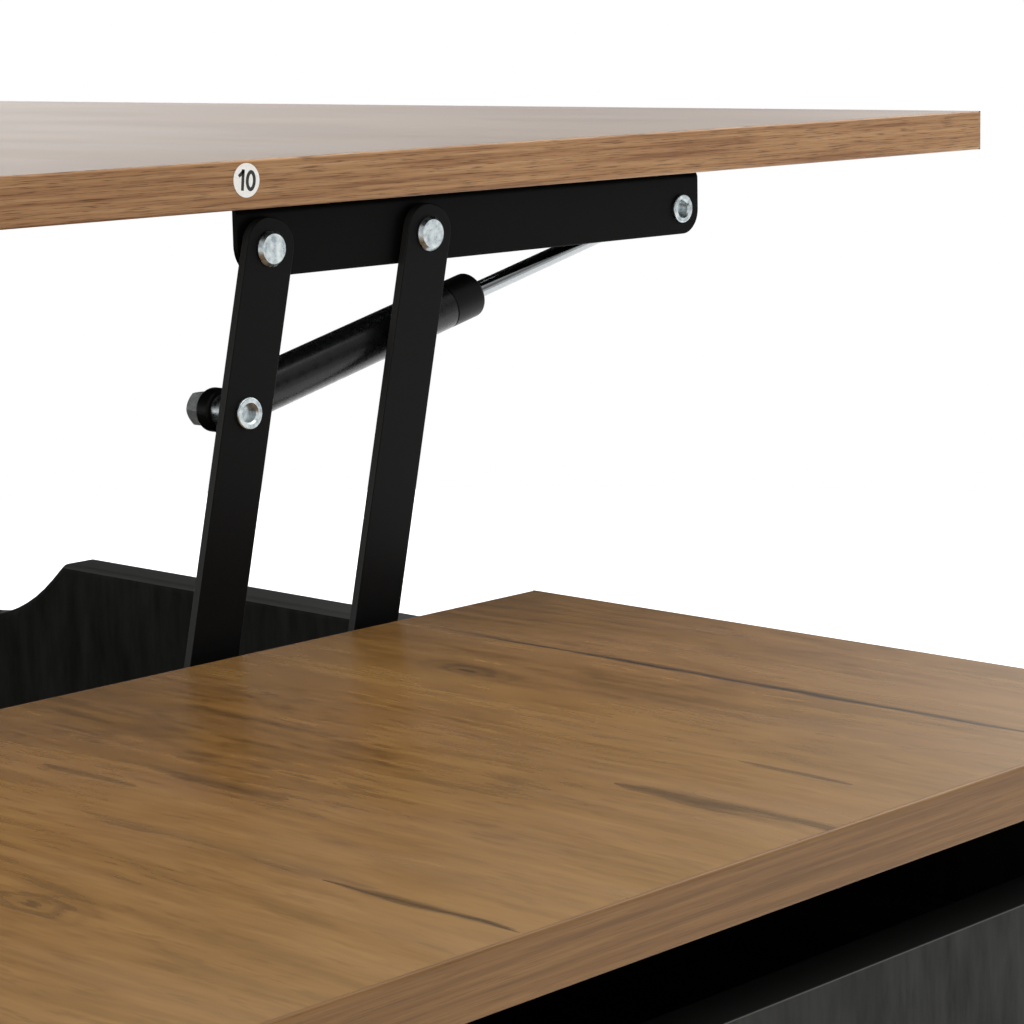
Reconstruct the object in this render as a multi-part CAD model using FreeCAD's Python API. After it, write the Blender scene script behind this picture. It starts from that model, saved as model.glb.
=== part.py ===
import FreeCAD
import Part
import math
import os

Vector = FreeCAD.Vector

# Boards and overall size, in millimetres, with the lifting top down
board = 15.0
table_length = 1000.0
table_depth = 550.0
closed_height = 450.0
fixed_top_width = 261.5
top_gap = 2.0
band = 1.0
band_round = 0.9
board_ease = 0.5

# Seat of the lifting top on the carcass
seat_drop = 1.0
seat_clear = 0.2
bumper_radius = 4.0
bumper_inset = 60.0

# Finger cut-out in the front apron
notch_half = 128.5
notch_depth = 28.0
notch_slope = 40.0
notch_inner_radius = 89.0
notch_lip_radius = 4.2
apron_round = 3.0

# Feet
foot_height = 40.0
foot_top_radius = 25.0
foot_low_radius = 20.0
foot_inset = 60.0
foot_bore_depth = 18.0
pad_thickness = 2.0

# Lift linkage, drawn with the top raised
arm_length = 222.9
arm_width = 19.5
arm_thickness = 3.0
arm_end_flat = 1.6
steel_ease = 0.4
raised_lean = 13.0
lift_raise = 150.5
pivot_spacing = 69.5
pivot_setback = 84.1
pivot_drop = 13.4
rivet_radius = 4.0
rivet_head_radius = 5.7
rivet_face_radius = 4.7
rivet_head_height = 1.6
rivet_tail_radius = 5.0
rivet_tail_height = 1.0
washer_radius = 7.0
lower_washer = 1.0
upper_washer = 0.5

# Base brackets and upper brackets
base_plate = 2.5
base_reach = 20.0
base_above = 13.0
base_below = 32.0
base_corner = 6.0
base_screw_drop = 22.0
base_floor_gap = 10.0
flange = 2.0
flange_height = 22.5
flange_width = 25.0
flange_front_corner = 8.5
flange_rear_corner = 10.5
flange_mitre = 28.0
flange_bend = 1.0
bracket_rear_reach = 10.6
bracket_front_reach = 9.0

# Gas springs
arm_stud_drop = 51.5
stud_span = 200.2
spring_gap = 1.3
cylinder_radius = 7.7
cylinder_wall = 1.2
cylinder_reach = 117.0
cap_length = 14.0
cap_spigot = 6.0
cap_groove = 0.6
cap_round = 1.5
spring_rod_radius = 3.0
piston_length = 10.0
eye_radius = 7.0
eye_width = 6.0
eye_round = 1.4
eye_stem_radius = 4.5
eye_stem = 14.0
stem_seat = 4.0
cylinder_floor = 6.0
stud_radius = 3.0
shoulder_radius = 4.0
collar_radius = 5.5
flare_radius = 5.1
flare_height = 1.0
flare_bore = 2.8
flare_bevel = 0.6
flare_bore_depth = 2.5
nut_flat = 10.0
nut_height = 6.0
nut_chamfer = 0.8
stud_tail = 1.0

# Drawers
drawer_names = ("lower_drawer", "upper_drawer")
finger_gap = 22.0
front_reveal = 1.0
drawer_wall = 12.0
drawer_base = 3.0
drawer_box_height = 120.0
drawer_box_lift = 27.0
drawer_back_space = 15.0
groove_depth = 4.0
groove_lift = 6.0
runner_width = 12.7
runner_height = 45.0
runner_sheet = 1.2
runner_lip = 9.0
runner_play = 0.4
runner_end_space = 2.0

# Screws, cam joints and dowels
screw_radius = 2.0
screw_head_radius = 4.0
screw_head_height = 2.0
screw_bite = 10.0
slot_width = 0.9
slot_reach = 2.4
slot_depth = 1.1
cam_radius = 7.5
cam_depth = 12.0
cam_inset = 34.0
bolt_radius = 3.0
bolt_bite = 11.0
dowel_radius = 4.0
dowel_bite = 9.0
joint_inset = 55.0

# Fits
running_fit = 0.05
seat_fit = 0.05
face_fit = 0.1
overrun = 1.0

# Planes of the carcass: X along the table, -Y towards the user, Z up
x_drawer_end = -table_length / 2
x_far_end = table_length / 2
x_fixed_edge = x_drawer_end + fixed_top_width
x_lift_edge = x_fixed_edge + top_gap
x_bay_start = x_drawer_end + board
x_bay_end = x_fixed_edge + top_gap / 2 - board / 2
x_wall = x_bay_end + board
x_end_wall = x_far_end - board
x_middle = (x_wall + x_end_wall) / 2
y_front = -table_depth / 2
y_back = table_depth / 2
y_front_wall = y_front + board
y_back_wall = y_back - board
z_floor = foot_height
z_base = foot_height + board
z_seat = closed_height - board
z_rim = z_seat - seat_drop

# Linkage points in the YZ plane
lean = math.radians(raised_lean)
lowered_lean = math.acos(math.cos(lean) - (lift_raise - seat_clear) / arm_length)
lift_forward = arm_length * (math.sin(lean) + math.sin(lowered_lean))
z_raised_seat = z_seat + lift_raise
z_upper = z_raised_seat - pivot_drop
z_lower = z_upper - arm_length * math.cos(lean)
z_shelf = z_lower - base_below - base_floor_gap
y_lower_front = y_front + pivot_setback
y_lower_rear = y_lower_front + pivot_spacing
y_upper_front = y_lower_front - arm_length * math.sin(lean)
y_upper_rear = y_upper_front + pivot_spacing
y_rod_stud = y_upper_rear - stud_span
y_arm_stud = y_upper_rear + arm_stud_drop * math.sin(lean)
z_arm_stud = z_upper - arm_stud_drop * math.cos(lean)
y_bracket_rear = y_upper_rear + bracket_rear_reach
y_bracket_front = y_rod_stud - bracket_front_reach

# Layers of the left linkage, outwards from the partition
x_arm = x_wall + base_plate + lower_washer
x_arm_inner = x_arm + arm_thickness
x_flange = x_arm_inner + upper_washer
x_flange_inner = x_flange + flange
x_spring = x_flange_inner + spring_gap + cylinder_radius
x_eye = x_spring - eye_width / 2
x_nut = x_eye + eye_width + face_fit
nut_corner = nut_flat / 2 / math.cos(math.radians(30))

# Gas spring line from the arm stud to the rod stud, and its length with the top lowered
spring_start = Vector(x_spring, y_arm_stud, z_arm_stud)
spring_end = Vector(x_spring, y_rod_stud, z_upper)
spring_line = spring_end.sub(spring_start)
spring_length = spring_line.Length
spring_dir = Vector(spring_line).normalize()
lowered_stud = Vector(0, -arm_stud_drop * math.sin(lowered_lean), -arm_stud_drop * math.cos(lowered_lean))
lowered_line = Vector(0, -stud_span, 0).sub(lowered_stud)
spring_stroke = spring_length - lowered_line.Length
piston_start = cylinder_reach - cap_length - cap_spigot - piston_length - 1.5 * face_fit

# The part's origin lies under the middle of its bounding box with the top raised
y_raised_front = y_front - lift_forward
origin_shift = Vector(0, -(y_raised_front + y_back) / 2, 0)

along_x = Vector(1, 0, 0)
along_y = Vector(0, 1, 0)
up = Vector(0, 0, 1)
down = Vector(0, 0, -1)

drilled = {}


def box(x0, x1, y0, y1, z0, z1):
    return Part.makeBox(x1 - x0, y1 - y0, z1 - z0, Vector(x0, y0, z0))


def pin(radius, start, direction, length):
    return Part.makeCylinder(radius, length, start, direction)


def moved(start, direction, distance):
    return start.add(Vector(direction).multiply(distance))


def eased(shape, radius):
    return shape.makeFillet(radius, shape.Edges)


def eased_board(x0, x1, y0, y1, z0, z1):
    return eased(box(x0, x1, y0, y1, z0, z1), board_ease)


def circles_at(shape, point):
    """Circular edges of a turned shape whose centre is the given point."""
    tiny = seat_fit / 10
    return [edge for edge in shape.Edges
            if edge.Curve.TypeId == "Part::GeomCircle" and edge.Curve.Center.sub(point).Length < tiny]


def to_right(shape):
    return shape.mirror(Vector(x_middle, 0, 0), along_x)


def both_sides(shapes):
    return shapes + [to_right(shape) for shape in shapes]


def rounded_face(corners):
    """Flat face through (point, radius) corners, each corner rounded by its radius."""
    edges = []
    ends = []
    for index, (point, radius) in enumerate(corners):
        before = corners[index - 1][0].sub(point).normalize()
        after = corners[(index + 1) % len(corners)][0].sub(point).normalize()
        half = before.getAngle(after) / 2
        reach = radius / math.tan(half)
        middle = before.add(after).normalize()
        centre = moved(point, middle, radius / math.sin(half))
        ends.append((moved(point, before, reach), moved(centre, middle, -radius), moved(point, after, reach)))
    last = ends[-1][2]
    for start, through, finish in ends:
        edges.append(Part.makeLine(last, start))
        edges.append(Part.Arc(start, through, finish).toShape())
        last = finish
    return Part.Face(Part.Wire(edges))


def drill(name, cutter):
    drilled.setdefault(name, []).append(cutter)


def finished(name, shape):
    return shape.cut(Part.makeCompound(drilled[name])) if name in drilled else shape


def export(name, shapes):
    solids = [solid for shape in shapes for solid in shape.Solids]
    result = Part.makeCompound(solids)
    result.translate(origin_shift)
    result.exportStep("parts/" + name + ".step")


def cross_slot(face_point, outward):
    """Two crossed slots sunk into a head whose face passes through face_point."""
    low = moved(face_point, outward, -slot_depth)
    side = up if abs(outward.z) < 0.5 else along_x
    slots = []
    for wide in (side, outward.cross(side)):
        thin = outward.cross(wide)
        corner = moved(moved(low, wide, -slot_reach), thin, -slot_width / 2)
        far = moved(corner, wide, 2 * slot_reach)
        outline = [corner, far, moved(far, thin, slot_width), moved(corner, thin, slot_width), corner]
        slots.append(Part.Face(Part.makePolygon(outline)).extrude(
            Vector(outward).multiply(slot_depth + overrun)))
    return slots[0].fuse(slots[1])


def screw(head_seat, direction, length):
    """Pan-head screw with a cross slot; it points along direction from the seat of its head."""
    outward = Vector(direction).negative()
    head = pin(screw_head_radius, head_seat, outward, screw_head_height)
    crown = moved(head_seat, outward, screw_head_height)
    head = head.makeFillet(screw_head_height / 2, circles_at(head, crown))
    head = head.cut(cross_slot(crown, outward))
    return head.fuse(pin(screw_radius, head_seat, direction, length))


def screw_hole(head_seat, direction, length):
    start = moved(head_seat, direction, -overrun)
    return pin(screw_radius + seat_fit, start, direction, length + overrun + face_fit)


def cam_joint(board_name, mate_name, mouth, inward, face):
    """Cam lock in one board and its bolt in the mating board.

    mouth lies on the joint plane in the middle of the board's edge, inward points into the board,
    and face points from the board's middle to the face that the lock is let into.
    """
    middle = moved(mouth, inward, cam_inset)
    surface = moved(middle, face, board / 2)
    sink = Vector(face).negative()
    lock = pin(cam_radius, surface, sink, cam_depth).cut(cross_slot(surface, face))
    bolt_length = bolt_bite + cam_inset - cam_radius - face_fit
    bolt = pin(bolt_radius, moved(mouth, inward, -bolt_bite), inward, bolt_length)
    drill(board_name, pin(cam_radius + seat_fit, moved(surface, face, overrun), sink,
                          cam_depth + overrun + face_fit))
    drill(board_name, pin(bolt_radius + seat_fit, moved(mouth, inward, -overrun), inward,
                          cam_inset + overrun))
    drill(mate_name, pin(bolt_radius + seat_fit, moved(mouth, inward, overrun), Vector(inward).negative(),
                         bolt_bite + overrun + face_fit))
    return lock, bolt


def dowel_joint(first_name, second_name, mouth, direction):
    """Dowel across a joint plane, with its holes in both boards; direction points into the second."""
    start = moved(mouth, direction, -dowel_bite)
    hole = pin(dowel_radius + seat_fit, moved(start, direction, -face_fit), direction,
               2 * (dowel_bite + face_fit))
    drill(first_name, hole)
    drill(second_name, hole)
    return pin(dowel_radius, start, direction, 2 * dowel_bite)


def board_joints():
    locks = []
    dowels = []
    z_mid_shelf = z_shelf - board / 2
    z_mid_base = z_base - board / 2
    y_mid_front = y_front + board / 2
    y_mid_back = y_back - board / 2
    sides = (y_front + joint_inset * 2, y_back - joint_inset * 2)
    for y in sides:
        locks.append(cam_joint("compartment_floor", "partition_panel",
                               Vector(x_wall, y, z_mid_shelf), along_x, down))
        locks.append(cam_joint("compartment_floor", "end_panel",
                               Vector(x_end_wall, y, z_mid_shelf), -along_x, down))
        locks.append(cam_joint("bottom_panel", "end_panel",
                               Vector(x_end_wall, y, z_mid_base), -along_x, down))
        dowels.append(dowel_joint("bottom_panel", "partition_panel",
                                  Vector(x_wall - board / 2, y, z_base), up))
    for z in (z_shelf + cam_radius * 3, z_rim - cam_radius * 4):
        locks.append(cam_joint("front_apron", "partition_panel",
                               Vector(x_wall, y_mid_front, z), along_x, along_y))
        locks.append(cam_joint("front_apron", "end_panel",
                               Vector(x_end_wall, y_mid_front, z), -along_x, along_y))
    for z in (z_base + joint_inset, z_rim - joint_inset):
        locks.append(cam_joint("back_panel", "partition_panel",
                               Vector(x_wall, y_mid_back, z), along_x, -along_y))
        locks.append(cam_joint("back_panel", "end_panel",
                               Vector(x_end_wall, y_mid_back, z), -along_x, -along_y))
    for z in (z_base + cam_radius * 2, z_seat - cam_radius * 3):
        locks.append(cam_joint("drawer_bay_side_front", "partition_panel",
                               Vector(x_bay_end, y_mid_front, z), -along_x, along_y))
        locks.append(cam_joint("drawer_bay_side_back", "partition_panel",
                               Vector(x_bay_end, y_mid_back, z), -along_x, -along_y))
    for name, y in (("drawer_bay_side_front", y_mid_front), ("drawer_bay_side_back", y_mid_back)):
        for x in (x_bay_start + joint_inset, x_bay_end - joint_inset * 1.6):
            dowels.append(dowel_joint("bottom_panel", name, Vector(x, y, z_base), up))
            dowels.append(dowel_joint("fixed_top_board", name, Vector(x, y, z_seat), down))
    for x in (x_wall + joint_inset * 2, x_middle, x_end_wall - joint_inset * 2):
        dowels.append(dowel_joint("bottom_panel", "back_panel", Vector(x, y_mid_back, z_base), up))
        dowels.append(dowel_joint("compartment_floor", "back_panel",
                                  Vector(x, y_back_wall, z_mid_shelf), along_y))
        dowels.append(dowel_joint("compartment_floor", "front_apron",
                                  Vector(x, y_front_wall, z_mid_shelf), -along_y))
    export("cam_locks", [lock for lock, bolt in locks])
    export("cam_bolts", [bolt for lock, bolt in locks])
    export("wood_dowels", dowels)


def table_top(x0, x1, y0, y1, z0):
    """Board of a top and the four strips of its edge band."""
    z1 = z0 + board
    core = box(x0 + band, x1 - band, y0 + band, y1 - band, z0, z1)
    strips = []
    for y, inner in ((y0, y0 + band), (y1, y1 - band)):
        strip = box(x0, x1, min(y, inner), max(y, inner), z0, z1)
        strips.append(strip.makeFillet(band_round, outer_edges(strip, y, 1)))
    for x, inner in ((x0, x0 + band), (x1, x1 - band)):
        strip = box(min(x, inner), max(x, inner), y0 + band, y1 - band, z0, z1)
        long_edges = [edge for edge in outer_edges(strip, x, 0) if abs(edge.tangentAt(0).y) > 0.5]
        strips.append(strip.makeFillet(band_round, long_edges))
    return core, strips


def outer_edges(strip, place, axis):
    tiny = band / 100
    return [edge for edge in strip.Edges
            if all(abs(vertex.Point[axis] - place) < tiny for vertex in edge.Vertexes)]


def notch():
    """Finger cut-out: flat bottom, hollow curve, short slope and a rounded lip at each end."""
    slope = math.radians(notch_slope)
    curve_height = (notch_inner_radius + notch_lip_radius) * (1 - math.cos(slope))
    run = (notch_depth - curve_height) / math.tan(slope)
    z_low = z_rim - notch_depth
    wire_points = []
    for side in (-1, 1):
        lip = Vector(x_middle + side * notch_half, y_front, z_rim)
        lip_turn = lip_arc(lip, side, slope, notch_lip_radius, -1)
        hollow_end = Vector(x_middle + side * (notch_half - run - (notch_inner_radius + notch_lip_radius)
                                               * math.sin(slope)), y_front, z_low)
        hollow_turn = lip_arc(hollow_end, -side, slope, notch_inner_radius, 1)
        wire_points.append((lip_turn, hollow_turn))
    (left_lip, left_hollow), (right_lip, right_hollow) = wire_points
    edges = [
        Part.Arc(*left_lip).toShape(),
        Part.makeLine(left_lip[2], left_hollow[2]),
        Part.Arc(*left_hollow[::-1]).toShape(),
        Part.makeLine(left_hollow[0], right_hollow[0]),
        Part.Arc(*right_hollow).toShape(),
        Part.makeLine(right_hollow[2], right_lip[2]),
        Part.Arc(*right_lip[::-1]).toShape(),
    ]
    above_right = moved(right_lip[0], up, overrun)
    above_left = moved(left_lip[0], up, overrun)
    edges.append(Part.makeLine(right_lip[0], above_right))
    edges.append(Part.makeLine(above_right, above_left))
    edges.append(Part.makeLine(above_left, left_lip[0]))
    face = Part.Face(Part.Wire(edges))
    face.translate(Vector(0, -overrun, 0))
    return face.extrude(Vector(0, board + 2 * overrun, 0))


def lip_arc(start, side, slope, radius, bend):
    """Three points of an arc that leaves start level, towards -side in X, and bends up or down."""
    points = []
    for part_turn in (0, slope / 2, slope):
        points.append(start.add(Vector(-side * radius * math.sin(part_turn), 0,
                                       bend * radius * (1 - math.cos(part_turn)))))
    return points


def apron():
    """Front board under the lifting top; its rim is rounded over on the inner side."""
    shape = box(x_wall, x_end_wall, y_front, y_front_wall, z_shelf - board, z_rim).cut(notch())
    z_low = z_rim - notch_depth - overrun
    for y, radius in ((y_front_wall, apron_round), (y_front, board_ease)):
        rim = [edge for edge in outer_edges(shape, y, 1) if edge.BoundBox.ZMin > z_low]
        shape = shape.makeFillet(radius, rim)
    return shape


def carcass():
    fixed_board, fixed_bands = table_top(x_drawer_end, x_fixed_edge, y_front, y_back, z_seat)
    panels = {
        "fixed_top_board": fixed_board,
        "bottom_panel": eased_board(x_bay_start, x_end_wall, y_front, y_back, z_floor, z_base),
        "end_panel": eased_board(x_end_wall, x_far_end, y_front, y_back, z_floor, z_rim),
        "partition_panel": eased_board(x_bay_end, x_wall, y_front, y_back, z_base, z_seat),
        "back_panel": eased_board(x_wall, x_end_wall, y_back_wall, y_back, z_base, z_rim),
        "front_apron": apron(),
        "compartment_floor": eased_board(x_wall, x_end_wall, y_front_wall, y_back_wall,
                                         z_shelf - board, z_shelf),
        "drawer_bay_side_front": eased_board(x_bay_start, x_bay_end, y_front, y_front_wall, z_base, z_seat),
        "drawer_bay_side_back": eased_board(x_bay_start, x_bay_end, y_back_wall, y_back, z_base, z_seat),
    }
    for name, panel in panels.items():
        export(name, [finished(name, panel)])
    export("fixed_top_edge_band", fixed_bands)
    bumpers = []
    for x in (x_wall + bumper_inset, x_end_wall - bumper_inset):
        for y in (y_front + board / 2, y_back - board / 2):
            bumpers.append(pin(bumper_radius, Vector(x, y, z_rim), up, seat_drop))
    export("rest_bumpers", bumpers)


def feet():
    feet_shapes = []
    pads = []
    screws = []
    for x in (x_drawer_end + foot_inset, x_wall - board / 2, x_far_end - foot_inset):
        for y in (y_front + foot_inset, y_back - foot_inset):
            low = Vector(x, y, pad_thickness)
            seat = moved(low, up, foot_bore_depth)
            length = foot_height - pad_thickness - foot_bore_depth + screw_bite
            cone = Part.makeCone(foot_low_radius, foot_top_radius, foot_height - pad_thickness, low)
            cone = cone.cut(pin(screw_head_radius + overrun, moved(low, down, overrun), up,
                                foot_bore_depth + overrun))
            feet_shapes.append(cone.cut(screw_hole(seat, up, length)))
            pads.append(pin(foot_low_radius - pad_thickness, Vector(x, y, 0), up, pad_thickness))
            screws.append(screw(seat, up, length))
            drill("bottom_panel", screw_hole(seat, up, length))
    export("feet", feet_shapes)
    export("foot_pads", pads)
    export("foot_screws", screws)


def arm(y_pivot):
    """Flat arm from its lower pivot, leaning towards the user, with round ends and a hole in each."""
    low = Vector(x_arm, y_pivot, z_lower)
    length_dir = Vector(0, -math.sin(lean), math.cos(lean))
    width_dir = Vector(0, math.cos(lean), math.sin(lean))
    half = arm_width / 2
    end_radius = half - arm_end_flat / 2
    corners = []
    for end, side in ((-half, -half), (arm_length + half, -half), (arm_length + half, half), (-half, half)):
        corners.append((moved(moved(low, length_dir, end), width_dir, side), end_radius))
    shape = eased(rounded_face(corners).extrude(Vector(arm_thickness, 0, 0)), steel_ease)
    for distance in (0, arm_length):
        shape = shape.cut(pivot_hole(moved(low, length_dir, distance)))
    return shape


def pivot_hole(centre):
    return pin(rivet_radius + running_fit, Vector(x_wall - overrun, centre.y, centre.z), along_x,
               x_flange_inner - x_wall + 2 * overrun)


def rivet_head(base, direction):
    straight = rivet_head_height / 4
    rim = pin(rivet_head_radius, base, direction, straight)
    bevel = Part.makeCone(rivet_head_radius, rivet_face_radius, rivet_head_height - straight,
                          moved(base, direction, straight), direction)
    return rim.fuse(bevel)


def washer(x, thickness, y, z):
    ring = pin(washer_radius, Vector(x, y, z), along_x, thickness)
    return ring.cut(pivot_hole(Vector(x, y, z)))


def arms():
    rear = arm(y_lower_rear)
    stud_hole = pin(shoulder_radius + seat_fit, Vector(x_arm - overrun, y_arm_stud, z_arm_stud), along_x,
                    arm_thickness + 2 * overrun)
    rear = rear.cut(stud_hole)
    front = arm(y_lower_front)
    export("rear_arm_left", [rear])
    export("rear_arm_right", [to_right(rear)])
    export("front_arm_left", [front])
    export("front_arm_right", [to_right(front)])
    ring = flared_end(Vector(x_arm, y_arm_stud, z_arm_stud), arm_thickness)
    export("arm_stud_flares", both_sides([ring]))


def flared_end(face_point, depth):
    """Hollow riveted end: a flared ring on the outer face and the shank that fills the hole."""
    head = pin(flare_radius, face_point, -along_x, flare_height)
    head = head.makeFillet(flare_height / 2, circles_at(head, moved(face_point, along_x, -flare_height)))
    whole = head.fuse(pin(shoulder_radius, face_point, along_x, depth))
    mouth = moved(face_point, along_x, -flare_height)
    bore = pin(flare_bore, moved(mouth, along_x, -overrun), along_x, flare_bore_depth + overrun)
    bevel = Part.makeCone(flare_bore + flare_bevel, flare_bore, flare_bevel, mouth, along_x)
    return whole.cut(bore).cut(bevel)


def base_brackets():
    y0 = y_lower_front - base_reach
    y1 = y_lower_rear + base_reach
    z0 = z_lower - base_below
    z1 = z_lower + base_above
    corners = [(Vector(x_wall, y, z), base_corner) for y, z in ((y0, z0), (y1, z0), (y1, z1), (y0, z1))]
    plate = eased(rounded_face(corners).extrude(Vector(base_plate, 0, 0)), steel_ease)
    rivets = []
    washers = []
    for y in (y_lower_front, y_lower_rear):
        plate = plate.cut(pivot_hole(Vector(x_wall, y, z_lower)))
        shank = pin(rivet_radius, Vector(x_wall, y, z_lower), along_x, x_arm_inner - x_wall + face_fit)
        rivets.append(shank.fuse(rivet_head(Vector(x_arm_inner + face_fit, y, z_lower), along_x)))
        washers.append(washer(x_wall + base_plate, lower_washer, y, z_lower))
    screws = []
    screw_length = base_plate + screw_bite
    for y in (y0 + base_reach / 2, (y0 + y1) / 2, y1 - base_reach / 2):
        seat = Vector(x_wall + base_plate, y, z_lower - base_screw_drop)
        plate = plate.cut(screw_hole(seat, -along_x, screw_length))
        drill("partition_panel", screw_hole(seat, -along_x, screw_length))
        drill("end_panel", to_right(screw_hole(seat, -along_x, screw_length)))
        screws.append(screw(seat, -along_x, screw_length))
    export("base_bracket_left", [plate])
    export("base_bracket_right", [to_right(plate)])
    export("base_bracket_screws", both_sides(screws))
    export("lower_pivot_rivets", both_sides(rivets))
    export("lower_pivot_washers", both_sides(washers))


def upper_brackets():
    z0 = z_raised_seat - flange_height
    corners = [
        (Vector(x_flange, y_bracket_front, z0), flange_front_corner),
        (Vector(x_flange, y_bracket_rear, z0), flange_rear_corner),
        (Vector(x_flange, y_bracket_rear, z_raised_seat + overrun), flange_bend),
        (Vector(x_flange, y_bracket_front, z_raised_seat + overrun), flange_bend),
    ]
    outline = rounded_face(corners).extrude(Vector(flange_width, 0, 0))
    profile = rounded_face([
        (Vector(x_flange, y_bracket_front, z0), steel_ease),
        (Vector(x_flange_inner, y_bracket_front, z0), steel_ease),
        (Vector(x_flange_inner, y_bracket_front, z_raised_seat - flange), flange_bend),
        (Vector(x_flange + flange_width, y_bracket_front, z_raised_seat - flange), steel_ease),
        (Vector(x_flange + flange_width, y_bracket_front, z_raised_seat), steel_ease),
        (Vector(x_flange, y_bracket_front, z_raised_seat), flange_bend + flange),
    ])
    bracket = profile.extrude(Vector(0, y_bracket_rear - y_bracket_front, 0)).common(outline)
    bracket = bracket.cut(bracket_mitre())
    rivets = []
    washers = []
    for y in (y_upper_front, y_upper_rear):
        bracket = bracket.cut(pivot_hole(Vector(x_flange, y, z_upper)))
        shank = pin(rivet_radius, Vector(x_arm - face_fit, y, z_upper), along_x,
                    x_flange_inner - x_arm + face_fit)
        tail = pin(rivet_tail_radius, Vector(x_flange_inner, y, z_upper), along_x, rivet_tail_height)
        head = rivet_head(Vector(x_arm - face_fit, y, z_upper), -along_x)
        rivets.append(shank.fuse(head).fuse(tail))
        washers.append(washer(x_arm_inner, upper_washer, y, z_upper))
    screws = []
    screw_length = flange + screw_bite
    x_screw = (x_flange_inner + x_flange + flange_width) / 2
    bracket_length = y_bracket_rear - y_bracket_front
    for share in (0.15, 0.38, 0.61, 0.84):
        seat = Vector(x_screw, y_bracket_front + share * bracket_length, z_raised_seat - flange)
        bracket = bracket.cut(screw_hole(seat, up, screw_length))
        drill("lift_top_board", screw_hole(seat, up, screw_length))
        drill("lift_top_board", to_right(screw_hole(seat, up, screw_length)))
        screws.append(screw(seat, up, screw_length))
    stud_face = Vector(x_flange, y_rod_stud, z_upper)
    bracket = bracket.cut(pin(shoulder_radius + seat_fit, moved(stud_face, along_x, -overrun), along_x,
                              flange + 2 * overrun))
    stud = flared_end(stud_face, x_eye - x_flange).fuse(stud_shank(spring_end))
    export("upper_bracket_left", [bracket])
    export("upper_bracket_right", [to_right(bracket)])
    export("upper_pivot_rivets", both_sides(rivets))
    export("upper_pivot_washers", both_sides(washers))
    export("upper_bracket_screws", both_sides(screws))
    export("rod_studs", both_sides([stud]))
    export("rod_stud_nuts", both_sides([lock_nut(spring_end)]))


def bracket_mitre():
    """Corner cut off the level flange at its rear end."""
    x_clear = x_flange + flange_width + overrun
    z0 = z_raised_seat - flange - flange_bend - overrun
    outline = [
        Vector(x_flange_inner, y_bracket_rear, z0),
        Vector(x_flange_inner, y_bracket_rear + overrun, z0),
        Vector(x_clear, y_bracket_rear + overrun, z0),
        Vector(x_clear, y_bracket_rear - flange_mitre, z0),
    ]
    face = Part.Face(Part.makePolygon(outline + outline[:1]))
    return face.extrude(Vector(0, 0, z_raised_seat - z0 + overrun))


def stud_shank(centre):
    return pin(stud_radius, Vector(x_eye - overrun, centre.y, centre.z), along_x,
               overrun + eye_width + face_fit + nut_height + stud_tail)


def lock_nut(centre):
    """Hexagon nut with its outer corners bevelled."""
    points = []
    for turn in range(7):
        angle = math.radians(60 * turn)
        points.append(Vector(x_nut, centre.y + nut_corner * math.cos(angle),
                             centre.z + nut_corner * math.sin(angle)))
    hexagon = Part.Face(Part.makePolygon(points)).extrude(Vector(nut_height, 0, 0))
    start = Vector(x_nut, centre.y, centre.z)
    limit = Part.makeCone(nut_corner + nut_height - nut_chamfer, nut_corner - nut_chamfer,
                          nut_height, start, along_x)
    return hexagon.common(limit).cut(pin(stud_radius + seat_fit, moved(start, along_x, -overrun), along_x,
                                         nut_height + 2 * overrun))


def eye(centre, direction):
    """Ring round a stud with a stem along the spring, clear of the collar and the nut beside it."""
    near = Vector(x_eye, centre.y, centre.z)
    far = moved(near, along_x, eye_width)
    ring = pin(eye_radius, near, along_x, eye_width)
    ring = ring.makeFillet(eye_round, circles_at(ring, near) + circles_at(ring, far))
    stem = pin(eye_stem_radius, centre, direction, eye_stem)
    stem = stem.cut(pin(collar_radius + face_fit, near, -along_x, eye_stem_radius))
    stem = stem.cut(pin(nut_corner + face_fit, far, along_x, eye_stem_radius))
    bore = pin(stud_radius + running_fit, moved(near, along_x, -overrun), along_x, eye_width + 2 * overrun)
    return ring.fuse(stem).cut(bore)


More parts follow.
